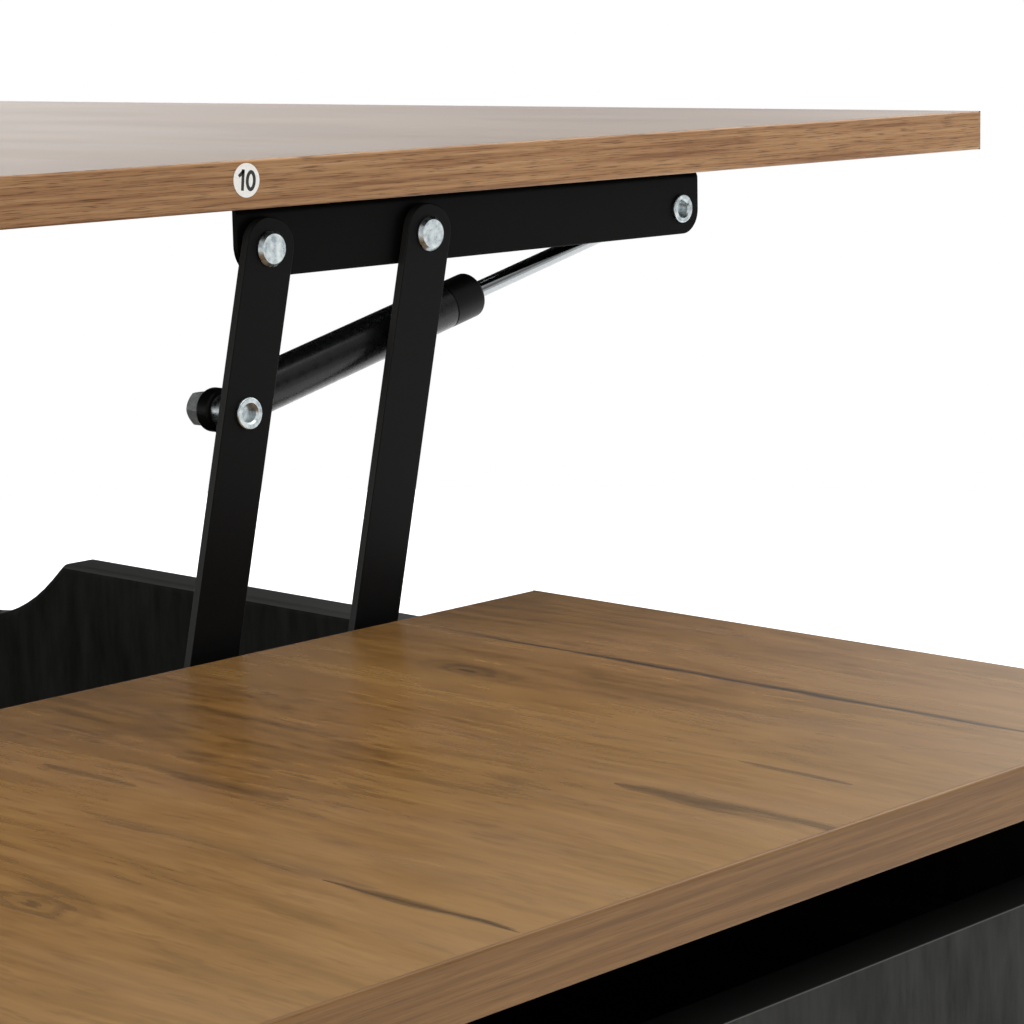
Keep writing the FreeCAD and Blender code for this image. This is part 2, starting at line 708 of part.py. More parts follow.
def gas_springs():
    back = Vector(spring_dir).negative()
    tube_start = eye_stem - stem_seat
    tube_length = cylinder_reach - cap_length - tube_start
    tube = pin(cylinder_radius, moved(spring_start, spring_dir, tube_start), spring_dir, tube_length)
    tube = tube.cut(pin(cylinder_radius - cylinder_wall,
                        moved(spring_start, spring_dir, tube_start + cylinder_floor), spring_dir,
                        tube_length))
    tube = tube.cut(pin(eye_stem_radius + seat_fit, moved(spring_start, spring_dir, tube_start - overrun),
                        spring_dir, stem_seat + overrun + face_fit))
    cap_start = cylinder_reach - cap_length
    cap_foot = moved(spring_start, spring_dir, cap_start)
    cap = pin(cylinder_radius, cap_foot, spring_dir, cap_length)
    cap = cap.makeFillet(cap_round, circles_at(cap, moved(cap_foot, spring_dir, cap_length)))
    cap = cap.makeChamfer(cap_groove, circles_at(cap, cap_foot))
    cap = cap.fuse(pin(cylinder_radius - cylinder_wall - seat_fit,
                       moved(spring_start, spring_dir, cap_start - cap_spigot), spring_dir,
                       cap_spigot))
    rod_start = moved(spring_start, spring_dir, piston_start)
    rod_length = spring_length - eye_stem + stem_seat - piston_start
    rod = pin(spring_rod_radius, rod_start, spring_dir, rod_length)
    rod_space = pin(spring_rod_radius + running_fit, moved(rod_start, back, overrun), spring_dir,
                    spring_length - piston_start)
    cap = cap.cut(rod_space)
    piston = pin(cylinder_radius - cylinder_wall - running_fit, rod_start, spring_dir, piston_length)
    piston = piston.cut(pin(spring_rod_radius + seat_fit, moved(rod_start, back, overrun), spring_dir,
                            piston_length + 2 * overrun))
    rod_socket = pin(spring_rod_radius + seat_fit, moved(rod_start, spring_dir, rod_length + face_fit), back,
                     rod_length)
    rod_eye = eye(spring_end, back).cut(rod_socket)
    base_eye = eye(spring_start, spring_dir)
    shoulder_start = Vector(x_arm_inner + face_fit, y_arm_stud, z_arm_stud)
    stud = pin(collar_radius, shoulder_start, along_x, x_eye - x_arm_inner - face_fit)
    stud = stud.fuse(stud_shank(spring_start))
    export("gas_cylinder_left", [tube])
    export("gas_cylinder_right", [to_right(tube)])
    export("cylinder_guide_caps", both_sides([cap]))
    export("cylinder_base_eyes", both_sides([base_eye]))
    export("arm_studs", both_sides([stud]))
    export("arm_stud_nuts", both_sides([lock_nut(spring_start)]))
    export("gas_spring_rods", both_sides([rod]))
    export("rod_end_eyes", both_sides([rod_eye]))
    export("gas_spring_pistons", both_sides([piston]))


def lifting_top():
    core, strips = table_top(x_lift_edge, x_far_end, y_raised_front, y_raised_front + table_depth,
                             z_raised_seat)
    export("lift_top_board", [finished("lift_top_board", core)])
    export("lift_top_edge_band", strips)


def channel(x0, x1, y_base, side, z_mid, height):
    """Open runner channel with its base on y_base and its lips along side."""
    y_tip = y_base + side * runner_lip
    outer = box(x0, x1, min(y_base, y_tip), max(y_base, y_tip), z_mid - height / 2, z_mid + height / 2)
    y_in = y_base + side * runner_sheet
    y_out = y_tip + side * overrun
    return outer.cut(box(x0 - overrun, x1 + overrun, min(y_in, y_out), max(y_in, y_out),
                         z_mid - height / 2 + runner_sheet, z_mid + height / 2 - runner_sheet))


def drawers():
    front_height = (z_seat - z_floor) / len(drawer_names) - finger_gap
    y_box = table_depth / 2 - board - runner_width
    x_box_end = x_bay_end - drawer_back_space
    x_runner = (x_bay_start + runner_end_space, x_box_end - runner_end_space)
    screw_places = (x_runner[0] + joint_inset, x_runner[1] - joint_inset)
    inner_height = runner_height - 2 * (runner_sheet + runner_play)
    short_screw = drawer_wall - runner_sheet
    bay_runners = []
    bay_screws = []
    for index, name in enumerate(drawer_names):
        z0 = z_floor + index * (front_height + finger_gap)
        z_box = z0 + drawer_box_lift
        z_runner = z_box + drawer_box_height / 2
        front = eased_board(x_drawer_end, x_bay_start, y_front + front_reveal, y_back - front_reveal,
                            z0, z0 + front_height)
        y_in = y_box - drawer_wall
        back = eased_board(x_box_end - drawer_wall, x_box_end, -y_in, y_in, z_box, z_box + drawer_box_height)
        sides = [eased_board(x_bay_start, x_box_end, y, y + drawer_wall, z_box, z_box + drawer_box_height)
                 for y in (-y_box, y_in)]
        z_groove = z_box + groove_lift
        reach = groove_depth - face_fit
        base = box(x_bay_start - reach, x_box_end - drawer_wall + reach, -y_in - reach, y_in + reach,
                   z_groove + seat_fit, z_groove + drawer_base - seat_fit)
        groove = box(x_bay_start - groove_depth, x_box_end - drawer_wall + groove_depth,
                     -y_in - groove_depth, y_in + groove_depth, z_groove, z_groove + drawer_base)
        runners = []
        screws = []
        for side in (-1, 1):
            wall_name = "drawer_bay_side_front" if side < 0 else "drawer_bay_side_back"
            y_wall = side * y_back_wall
            rail = channel(x_runner[0], x_runner[1], y_wall, -side, z_runner, runner_height)
            slider = channel(x_runner[0], x_runner[1], side * y_box, side, z_runner, inner_height)
            outward = Vector(0, side, 0)
            for x in screw_places:
                seat = Vector(x, y_wall - side * runner_sheet, z_runner)
                rail = rail.cut(screw_hole(seat, outward, screw_bite))
                drill(wall_name, screw_hole(seat, outward, screw_bite))
                bay_screws.append(screw(seat, outward, screw_bite))
                inner_seat = Vector(x, side * (y_box + runner_sheet), z_runner)
                hole = screw_hole(inner_seat, -outward, short_screw)
                slider = slider.cut(hole)
                sides = [wall.cut(hole) for wall in sides]
                screws.append(screw(inner_seat, -outward, short_screw))
            bay_runners.append(rail)
            runners.append(slider)
        export(name + "_front", [front.cut(groove)])
        export(name + "_sides", [wall.cut(groove) for wall in sides])
        export(name + "_back", [back.cut(groove)])
        export(name + "_bottom", [base])
        export(name + "_runners", runners)
        export(name + "_runner_screws", screws)
    export("bay_runners", bay_runners)
    export("bay_runner_screws", bay_screws)


os.makedirs("parts", exist_ok=True)
board_joints()
feet()
drawers()
arms()
base_brackets()
upper_brackets()
gas_springs()
lifting_top()
carcass()
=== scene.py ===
import bpy
import math
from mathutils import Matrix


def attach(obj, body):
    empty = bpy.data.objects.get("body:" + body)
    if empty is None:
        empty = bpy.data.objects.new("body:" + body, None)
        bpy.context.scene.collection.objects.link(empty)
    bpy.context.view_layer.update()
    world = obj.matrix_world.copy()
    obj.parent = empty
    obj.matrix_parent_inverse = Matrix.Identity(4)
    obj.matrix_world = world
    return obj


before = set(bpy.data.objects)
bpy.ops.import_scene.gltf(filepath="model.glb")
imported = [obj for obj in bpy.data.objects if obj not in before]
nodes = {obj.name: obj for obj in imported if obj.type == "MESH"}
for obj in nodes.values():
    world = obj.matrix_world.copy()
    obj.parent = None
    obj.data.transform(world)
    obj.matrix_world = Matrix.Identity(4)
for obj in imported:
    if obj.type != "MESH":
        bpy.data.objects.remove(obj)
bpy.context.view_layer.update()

print("frame loaded:", len(nodes), "CAD nodes")


def linear(hexText):  # sRGB hex to a linear colour
    channels = [int(hexText[i:i + 2], 16) / 255 for i in (0, 2, 4)]
    return [c / 12.92 if c <= 0.04045 else ((c + 0.055) / 1.055) ** 2.4 for c in channels] + [1.0]


def perMetre(mm):  # scale of a pattern whose marks are this many mm across
    return 1000.0 / mm


def wire(mat, node, inputs):  # sockets are linked, plain values are set
    for name, value in inputs.items():
        if isinstance(value, bpy.types.NodeSocket):
            mat.node_tree.links.new(value, node.inputs[name])
        else:
            node.inputs[name].default_value = value


def addNode(mat, kind, inputs, out=0, ramp=None, **settings):
    node = mat.node_tree.nodes.new("ShaderNode" + kind)
    for name, value in settings.items():
        setattr(node, name, value)
    if ramp:
        stops = node.color_ramp.elements
        while len(stops) < len(ramp):
            stops.new(0.5)
        for stop, (place, shade) in zip(stops, ramp):
            stop.position = place
            stop.color = linear(shade)
    wire(mat, node, inputs)
    return node.outputs[out]


def newMaterial(name):
    mat = bpy.data.materials.new(name)
    mat.use_nodes = True
    return mat, mat.node_tree.nodes["Principled BSDF"]


def dress(mat, *names):
    for name in names:
        mesh = nodes[name].data
        mesh.materials.clear()
        mesh.materials.append(mat)


# the camera stands off the back corner of the drawer end, just above the raised top
cameraSpec = {"place": (-0.92554, 0.58504, 0.64422), "turn": (80.505, 1.171, -136.466), "lens": 106.04,
              "sensor": 36, "nearClip": 0.01}
bpy.ops.object.select_all(action="DESELECT")
bpy.ops.object.camera_add(location=cameraSpec["place"],
                          rotation=[math.radians(angle) for angle in cameraSpec["turn"]])
camera = bpy.context.object
camera.data.lens = cameraSpec["lens"]
camera.data.sensor_width = cameraSpec["sensor"]
camera.data.clip_start = cameraSpec["nearClip"]
bpy.context.scene.camera = camera
bpy.context.scene.view_settings.view_transform = "Standard"
print("camera set")

# white studio: white floor, broad light from above, bright skirting, walls dim except in front and behind
# wall and skirting spans run along frontWay, the other spans run up from the horizon
studio = {
    "floorRadius": 3.0, "floorSides": 96, "floorShade": "ffffff", "floorRoughness": 0.9, "floorSpecular": 0.1,
    "frontWay": (-0.10, -0.99, 0),
    "frontWall": {"From Min": 0.64, "From Max": 0.96, "To Min": 0.05, "To Max": 2.2},
    "backWall": {"From Min": -0.2, "From Max": -0.9, "To Max": 0.6},
    "skirting": {"From Min": 0.5, "From Max": 0.8, "To Min": 1.85, "To Max": 0.85},
    "skirtingTop": {"From Min": 0.05, "From Max": 0.075, "To Min": 1.0, "To Max": 0.0},
    "horizon": {"From Min": 0.004, "From Max": 0.016, "To Min": 1.0, "To Max": 0.0}, "horizonGlow": 1.0,
    "ceilingFoot": {"From Min": 0.22, "From Max": 0.60}, "ceiling": 0.7,
    "overhead": 2.8, "overheadSpread": 75, "overheadPlace": (0, 0, 3),
}
softBoxes = [{"place": (-2.6, 1.2, 1.7), "turn": (65, 0, -115), "size": 1.6, "power": 7},
             {"place": (-0.4, -2.8, 2.3), "turn": (57, 0, -4), "size": 1.6, "power": 40},
             {"place": (0.6, 2.6, 1.4), "turn": (70, 0, 167), "size": 1.4, "power": 16}]
bpy.ops.object.select_all(action="DESELECT")
bpy.ops.mesh.primitive_circle_add(vertices=studio["floorSides"], radius=studio["floorRadius"],
                                  fill_type="NGON")
floor = bpy.context.object
floor.name = "studioFloor"
floorPaint, floorShader = newMaterial("matte white studio paint")
wire(floorPaint, floorShader, {"Base Color": linear(studio["floorShade"]),
                               "Roughness": studio["floorRoughness"],
                               "Specular IOR Level": studio["floorSpecular"]})
floor.data.materials.append(floorPaint)
world = bpy.data.worlds.new("studio")
world.use_nodes = True
bpy.context.scene.world = world
way = addNode(world, "TexCoord", {}, "Generated")
towardsFront = addNode(world, "VectorMath", {0: way, 1: studio["frontWay"]}, "Value",
                       operation="DOT_PRODUCT")
upwards = addNode(world, "VectorMath", {0: way, 1: (0, 0, 1)}, "Value", operation="DOT_PRODUCT")
frontWall = addNode(world, "MapRange", {"Value": towardsFront, **studio["frontWall"]},
                    interpolation_type="SMOOTHSTEP")
backWall = addNode(world, "MapRange", {"Value": towardsFront, **studio["backWall"]},
                   interpolation_type="SMOOTHSTEP")
walls = addNode(world, "Math", {0: frontWall, 1: backWall}, operation="ADD")
skirting = addNode(world, "MapRange", {"Value": towardsFront, **studio["skirting"]})
inSkirting = addNode(world, "MapRange", {"Value": upwards, **studio["skirtingTop"]},
                     interpolation_type="SMOOTHSTEP")
inHorizon = addNode(world, "MapRange", {"Value": upwards, **studio["horizon"]})
inCeiling = addNode(world, "MapRange", {"Value": upwards, **studio["ceilingFoot"]},
                    interpolation_type="SMOOTHSTEP")
glow = addNode(world, "Mix", {"Factor": inSkirting, 2: walls, 3: skirting})
glow = addNode(world, "Mix", {"Factor": inHorizon, 2: glow, 3: studio["horizonGlow"]})
glow = addNode(world, "Mix", {"Factor": inCeiling, 2: glow, 3: studio["ceiling"]})
wire(world, world.node_tree.nodes["Background"], {"Color": (1, 1, 1, 1), "Strength": glow})
bpy.ops.object.light_add(type="SUN", location=studio["overheadPlace"])
overhead = bpy.context.object
overhead.data.energy = studio["overhead"]
overhead.data.angle = math.radians(studio["overheadSpread"])
for spec in softBoxes:
    bpy.ops.object.light_add(type="AREA", location=spec["place"],
                             rotation=[math.radians(angle) for angle in spec["turn"]])
    softBox = bpy.context.object
    softBox.data.energy = spec["power"]
    softBox.data.size = spec["size"]
print("studio lit")

# golden craft oak print under satin melamine: calm streaks along the table, flecked patches, splits, knots
oakSpec = {
    "shades": [(0.30, "4e3618"), (0.43, "624521"), (0.52, "6e4f29"), (0.60, "76572e"), (0.74, "806137")],
    "layers": {"broad": (260, 42, 3.0), "streak": (110, 8, 3.0), "line": (30, 3.8, 2.0),
               "pore": (13, 2.4, 2.0), "patch": (170, 34, 2.0)},  # length and width in mm, detail
    "layerRoughness": 0.55, "streakShare": 0.40, "lineShare": 0.42,
    "drift": (150, 60), "driftDetail": 2.0, "driftMm": 14,
    "rosy": "70533a", "rosyPatch": {"From Min": 0.46, "From Max": 0.66, "To Max": 0.35},
    "poreShade": "432d15", "poreCut": {"From Min": 0.54, "From Max": 0.68},
    "poreGather": {"From Min": 0.58, "From Max": 0.42, "To Min": 0.18, "To Max": 0.52},
    # painted sheen: the pale shade laid over the oak towards the drawer end
    "paintedSheenShade": "886e4c", "paintedSheenEnd": {"From Min": -0.36, "From Max": -0.50, "To Max": 0.38},
    "splitShade": "1c150e", "knotRagged": 0.9, "knotRings": 13.0,
    "knotRing": {"From Min": -0.4, "From Max": 1.0, "To Min": 0.2},
    "knotFade": {"From Min": 0.1, "From Max": 1.2, "To Max": 0.0},
    # dark backing of the underside, partly painted shade
    "backingAndPaintedShade": [(0.3, "121110"), (0.7, "1b1918")], "backingMm": 4, "backingDetail": 4.0,
    "backingRoughness": 0.95, "underBelow": -0.5, "ior": 1.45,
}
# splits: start x, y, end x, half width in mm, depth; knots: x, y, length, width in mm, depth
fixedMarks = {
    "seed": 3.1, "specular": 0.32,
    "satin": {"From Min": 0.35, "From Max": 0.65, "To Min": 0.22, "To Max": 0.28},
    "splits": [(-252, -78, -535, 2.4, 0.95), (-440, -5, -478, 2.0, 0.6), (-430, 32, -508, 5.0, 0.6),
               (-436, 138, -498, 2.6, 0.8), (-345, 135, -452, 5.0, 0.28), (-312, 96, -378, 4.0, 0.38),
               (-300, 112, -338, 2.4, 0.5), (-276, 43, -340, 3.0, 0.42), (-238, 71, -280, 2.6, 0.4),
               (-250, 248, -420, 2.4, 0.7), (-330, 323, -470, 1.8, 0.6)],
    "knots": [(-309, -38, 20, 8, 0.7), (-284, 20, 30, 13, 0.35), (-262, 96, 16, 7, 0.4),
              (-400, 193, 22, 9, 0.5)],
}
liftMarks = {
    "seed": 7.4, "specular": 0.5,
    "satin": {"From Min": 0.35, "From Max": 0.65, "To Min": 0.168, "To Max": 0.176},
    "splits": [(-180, -67, 60, 2.2, 0.85), (-60, 53, 130, 1.8, 0.7), (80, -157, 330, 2.4, 0.9),
               (250, 13, 420, 1.8, 0.7), (-210, -247, -20, 2.4, 0.85), (60, -337, 260, 1.8, 0.7),
               (300, -277, 470, 2.2, 0.85), (-120, -370, 40, 1.6, 0.6), (360, 88, 480, 1.6, 0.6)],
    "knots": [(-90, -157, 26, 10, 0.5), (190, -67, 22, 9, 0.45), (350, -207, 30, 12, 0.5),
              (20, 60, 20, 8, 0.5)],
}


def craftOak(name, marks):
    mat, shader = newMaterial(name)
    place = addNode(mat, "TexCoord", {}, "Object")
    axisX = addNode(mat, "SeparateXYZ", {0: place}, "X")
    axisY = addNode(mat, "SeparateXYZ", {0: place}, "Y")
    # the grain wanders sideways a little as it runs along the board
    driftLong, driftWide = oakSpec["drift"]
    swing = oakSpec["driftMm"] / 1000
    drift = addNode(mat, "Mapping", {"Vector": place, "Location": (marks["seed"], 0, 0),
                                     "Scale": (perMetre(driftLong), perMetre(driftWide), 1)})
    drift = addNode(mat, "TexNoise", {"Vector": drift, "Scale": 1.0, "Detail": oakSpec["driftDetail"]},
                    "Color")
    drift = addNode(mat, "VectorMath", {0: drift, 1: (0, swing, 0), 2: (0, -swing / 2, 0)},
                    operation="MULTIPLY_ADD")
    grain = addNode(mat, "VectorMath", {0: place, 1: drift}, operation="ADD")
    layer = {}
    for key, (long, wide, detail) in oakSpec["layers"].items():
        mapped = addNode(mat, "Mapping", {"Vector": grain, "Location": (0, marks["seed"], 0),
                                          "Scale": (perMetre(long), perMetre(wide), 1)})
        layer[key] = addNode(mat, "TexNoise", {"Vector": mapped, "Scale": 1.0, "Detail": detail,
                                               "Roughness": oakSpec["layerRoughness"]})
    tone = addNode(mat, "Mix", {"Factor": oakSpec["streakShare"], 2: layer["broad"], 3: layer["streak"]})
    tone = addNode(mat, "Mix", {"Factor": oakSpec["lineShare"], 2: tone, 3: layer["line"]})
    colour = addNode(mat, "ValToRGB", {"Fac": tone}, ramp=oakSpec["shades"])
    blush = addNode(mat, "MapRange", {"Value": layer["patch"], **oakSpec["rosyPatch"]})
    colour = addNode(mat, "Mix", {"Factor": blush, 6: colour, 7: linear(oakSpec["rosy"])}, 2,
                     data_type="RGBA")
    # short dark pores, gathered where the broad tone is dark
    pores = addNode(mat, "MapRange", {"Value": layer["pore"], **oakSpec["poreCut"]})
    gather = addNode(mat, "MapRange", {"Value": layer["broad"], **oakSpec["poreGather"]})
    pores = addNode(mat, "Math", {0: pores, 1: gather}, operation="MULTIPLY")
    colour = addNode(mat, "Mix", {"Factor": pores, 6: colour, 7: linear(oakSpec["poreShade"])}, 2,
                     data_type="RGBA")
    # paler towards the drawer end: painted sheen, a pale veil standing in for reflected haze and brighter
    # light there
    paintedSheen = addNode(mat, "MapRange", {"Value": axisX, **oakSpec["paintedSheenEnd"]})
    colour = addNode(mat, "Mix", {"Factor": paintedSheen, 6: colour, 7: linear(oakSpec["paintedSheenShade"])}, 2,
                     data_type="RGBA")
    fray = addNode(mat, "Math", {0: layer["line"], 1: 0.5}, operation="SUBTRACT")  # noise about its middle
    dark = 0.0
    # each split is a long thin ellipse along X with a frayed edge
    for startX, atY, endX, half, depth in marks["splits"]:
        full = 2 * half / 1000
        along = addNode(mat, "MapRange", {"Value": axisX, "From Min": startX / 1000,
                                          "From Max": endX / 1000})
        ahead = addNode(mat, "Math", {0: 1.0, 1: along}, operation="SUBTRACT")
        bulge = addNode(mat, "Math", {0: along, 1: ahead}, operation="MULTIPLY")
        bulge = addNode(mat, "Math", {0: bulge}, operation="SQRT")
        reach = addNode(mat, "Math", {0: bulge, 1: full}, operation="MULTIPLY")
        off = addNode(mat, "Math", {0: axisY, 1: atY / 1000}, operation="SUBTRACT")
        off = addNode(mat, "Math", {0: fray, 1: full, 2: off}, operation="MULTIPLY_ADD")
        off = addNode(mat, "Math", {0: off}, operation="ABSOLUTE")
        mark = addNode(mat, "MapRange", {"Value": off, "From Min": 0.0, "From Max": reach,
                                         "To Min": depth, "To Max": 0.0})
        dark = addNode(mat, "Math", {0: dark, 1: mark}, operation="MAXIMUM")
    # each knot is a dark eye with two or three ragged rings round it
    for atX, atY, long, wide, depth in marks["knots"]:
        local = addNode(mat, "Mapping", {"Vector": grain, "Location": (-atX / long, -atY / wide, 0),
                                         "Scale": (perMetre(long), perMetre(wide), 0)})
        far = addNode(mat, "VectorMath", {0: local}, "Value", operation="LENGTH")
        ragged = addNode(mat, "Math", {0: fray, 1: oakSpec["knotRagged"], 2: far},
                         operation="MULTIPLY_ADD")
        ring = addNode(mat, "Math", {0: ragged, 1: oakSpec["knotRings"]}, operation="MULTIPLY")
        ring = addNode(mat, "Math", {0: ring}, operation="COSINE")
        ring = addNode(mat, "MapRange", {"Value": ring, **oakSpec["knotRing"]})
        fade = addNode(mat, "MapRange", {"Value": ragged, "To Min": depth, **oakSpec["knotFade"]})
        mark = addNode(mat, "Math", {0: ring, 1: fade}, operation="MULTIPLY")
        dark = addNode(mat, "Math", {0: dark, 1: mark}, operation="MAXIMUM")
    colour = addNode(mat, "Mix", {"Factor": dark, 6: colour, 7: linear(oakSpec["splitShade"])}, 2,
                     data_type="RGBA")
    # the underside has a plain dark backing, much duller than the face; its darkness is partly painted shade,
    # so the shaded underside of the lifting top reflects dark in the fixed top
    faceZ = addNode(mat, "SeparateXYZ", {0: addNode(mat, "TexCoord", {}, "Normal")}, "Z")
    under = addNode(mat, "Math", {0: faceZ, 1: oakSpec["underBelow"]}, operation="LESS_THAN")
    mottle = addNode(mat, "TexNoise", {"Vector": place, "Scale": perMetre(oakSpec["backingMm"]),
                                       "Detail": oakSpec["backingDetail"]})
    backingAndPaintedShade = addNode(mat, "ValToRGB", {"Fac": mottle}, ramp=oakSpec["backingAndPaintedShade"])
    colour = addNode(mat, "Mix", {"Factor": under, 6: colour, 7: backingAndPaintedShade}, 2, data_type="RGBA")
    satin = addNode(mat, "MapRange", {"Value": layer["patch"], **marks["satin"]})
    satin = addNode(mat, "Mix", {"Factor": under, 2: satin, 3: oakSpec["backingRoughness"]})
    wire(mat, shader, {"Base Color": colour, "Roughness": satin, "IOR": oakSpec["ior"],
                       "Specular IOR Level": marks["specular"]})
    return mat


dress(craftOak("craft oak melamine, fixed top", fixedMarks), "fixed_top_board")
dress(craftOak("craft oak melamine, lifting top", liftMarks), "lift_top_board")
print("oak tops dressed")

# PVC edge band printed with straight oak grain that runs along each strip, with short dark pores
bandSpec = {
    "noise": {"Scale": 1.0, "Detail": 3.0, "Roughness": 0.6}, "grain": (90, 1.7), "pore": (14, 0.35),
    "poreShade": "3a2416", "poreCut": {"From Min": 0.53, "From Max": 0.66},
    "bump": {"Strength": 0.10, "Distance": 0.0002},
    "shader": {"Roughness": 0.36, "IOR": 1.45, "Specular IOR Level": 0.2},
}
# one band in two copies: the fixed top's shades are painted darker as shade, the lifting top's are painted
# lighter as light falling on it
shadedFixedBand = {"poreShare": 0.3, "seed": 2.0,
             "shades": [(0.30, "5a3e1d"), (0.46, "644624"), (0.58, "6c4d29"), (0.74, "765731")]}
litLiftBand = {"poreShare": 0.8, "seed": 8.0,
            "shades": [(0.34, "785234"), (0.47, "906a47"), (0.57, "99744f"), (0.70, "a7825d")]}


def edgeBand(name, strip):
    mat, shader = newMaterial(name)
    place = addNode(mat, "TexCoord", {}, "Object")
    turned = addNode(mat, "TexCoord", {}, "Normal")
    spotX, spotY, spotZ = [addNode(mat, "SeparateXYZ", {0: place}, axis) for axis in "XYZ"]
    faceX, faceY = [addNode(mat, "SeparateXYZ", {0: turned}, axis) for axis in "XY"]
    acrossX = addNode(mat, "Math", {0: faceX}, operation="ABSOLUTE")
    acrossY = addNode(mat, "Math", {0: faceY}, operation="ABSOLUTE")
    facesX = addNode(mat, "Math", {0: acrossX, 1: acrossY}, operation="GREATER_THAN")
    along = addNode(mat, "Mix", {"Factor": facesX, 2: spotX, 3: spotY})
    flat = addNode(mat, "CombineXYZ", {"X": along, "Y": spotZ, "Z": strip["seed"]})
    tones = []
    for long, wide in (bandSpec["grain"], bandSpec["pore"]):
        mapped = addNode(mat, "Mapping", {"Vector": flat, "Scale": (perMetre(long), perMetre(wide), 1)})
        tones.append(addNode(mat, "TexNoise", {"Vector": mapped, **bandSpec["noise"]}))
    colour = addNode(mat, "ValToRGB", {"Fac": tones[0]}, ramp=strip["shades"])
    pores = addNode(mat, "MapRange", {"Value": tones[1], "To Max": strip["poreShare"],
                                      **bandSpec["poreCut"]})
    colour = addNode(mat, "Mix", {"Factor": pores, 6: colour, 7: linear(bandSpec["poreShade"])}, 2,
                     data_type="RGBA")
    bump = addNode(mat, "Bump", {"Height": pores, **bandSpec["bump"]}, invert=True)
    wire(mat, shader, {"Base Color": colour, "Normal": bump, **bandSpec["shader"]})
    return mat


dress(edgeBand("printed PVC edge band, fixed top, painted shade", shadedFixedBand), "fixed_top_edge_band")
dress(edgeBand("printed PVC edge band, lifting top, painted light", litLiftBand), "lift_top_edge_band")
print("edge bands dressed")

# black wood-grain laminate: almost flat colour, soft blotched streaks and a fine pressed grain
laminateSpec = {
    "shades": [(0.32, "1a1a19"), (0.50, "252523"), (0.68, "2d2d2b")],
    "noise": {"Scale": 1.0, "Detail": 4.0, "Roughness": 0.6}, "streak": (30, 7), "press": (11, 1.3),
    "pressShare": 0.2, "bump": {"Strength": 0.06, "Distance": 0.0002},
    # masks for painted edge light and shade: the eased corner and the top strip, by how far the face turns up
    "edges": {"cornerHighlight": {"From Min": 0.1, "From Max": 0.4}, "strip": {"From Min": 0.6, "From Max": 0.9}},
    "shader": {"Roughness": 0.55, "IOR": 1.45, "Specular IOR Level": 0.05},
}
# painted light and shade along board edges: colour of the eased corner (a painted highlight) and of the top
# strip, and the height it starts at; the upright boards' top strip is painted lighter, as light from above,
# only from the straight rim up
paintedRimLightSpec = {"cornerHighlight": "565654", "strip": "565654", "above": 0.4325}
# drawer fronts: the eased top corner is a painted highlight, the top strip is painted darker as shade under
# the overhanging top
drawerFrontLightAndShadeSpec = {"cornerHighlight": "464643", "strip": "121211", "above": 0.0}


def blackLaminate(name, along, edgeLightAndShade=None):
    mat, shader = newMaterial(name)
    place = addNode(mat, "TexCoord", {}, "Object")
    tones = []
    for long, thin in (laminateSpec["streak"], laminateSpec["press"]):
        size = [long if axis == along else thin for axis in "XYZ"]
        mapped = addNode(mat, "Mapping", {"Vector": place, "Scale": [perMetre(mm) for mm in size]})
        tones.append(addNode(mat, "TexNoise", {"Vector": mapped, **laminateSpec["noise"]}))
    tone = addNode(mat, "Mix", {"Factor": laminateSpec["pressShare"], 2: tones[0], 3: tones[1]})
    colour = addNode(mat, "ValToRGB", {"Fac": tone}, ramp=laminateSpec["shades"])
    # painted light and shade on the top strip and on the eased corner, from the given height up
    if edgeLightAndShade:
        faceZ = addNode(mat, "SeparateXYZ", {0: addNode(mat, "TexCoord", {}, "Normal")}, "Z")
        height = addNode(mat, "SeparateXYZ", {0: place}, "Z")
        level = addNode(mat, "Math", {0: height, 1: edgeLightAndShade["above"]}, operation="GREATER_THAN")
        for key, span in laminateSpec["edges"].items():
            share = addNode(mat, "MapRange", {"Value": faceZ, **span})
            share = addNode(mat, "Math", {0: share, 1: level}, operation="MULTIPLY")
            colour = addNode(mat, "Mix", {"Factor": share, 6: colour, 7: linear(edgeLightAndShade[key])}, 2,
                             data_type="RGBA")
    bump = addNode(mat, "Bump", {"Height": tones[1], **laminateSpec["bump"]})
    wire(mat, shader, {"Base Color": colour, "Normal": bump, **laminateSpec["shader"]})
    return mat


dress(blackLaminate("black laminate, upright grain", "Z", paintedRimLightSpec), "front_apron", "back_panel",
      "end_panel", "partition_panel", "drawer_bay_side_front", "drawer_bay_side_back")
dress(blackLaminate("black laminate, drawer fronts", "Z", drawerFrontLightAndShadeSpec), "upper_drawer_front",
      "lower_drawer_front")
dress(blackLaminate("black laminate, level grain", "X"), "compartment_floor", "bottom_panel",
      "upper_drawer_sides", "lower_drawer_sides", "upper_drawer_back", "lower_drawer_back")
print("boards dressed")

# mottle that the plainer finishes share
speckSpec = {"detail": 4.0, "from": 0.3, "to": 0.7, "bumpDistance": 0.0002,
             "edgeSpan": {"From Min": 0.8, "From Max": 0.5}}


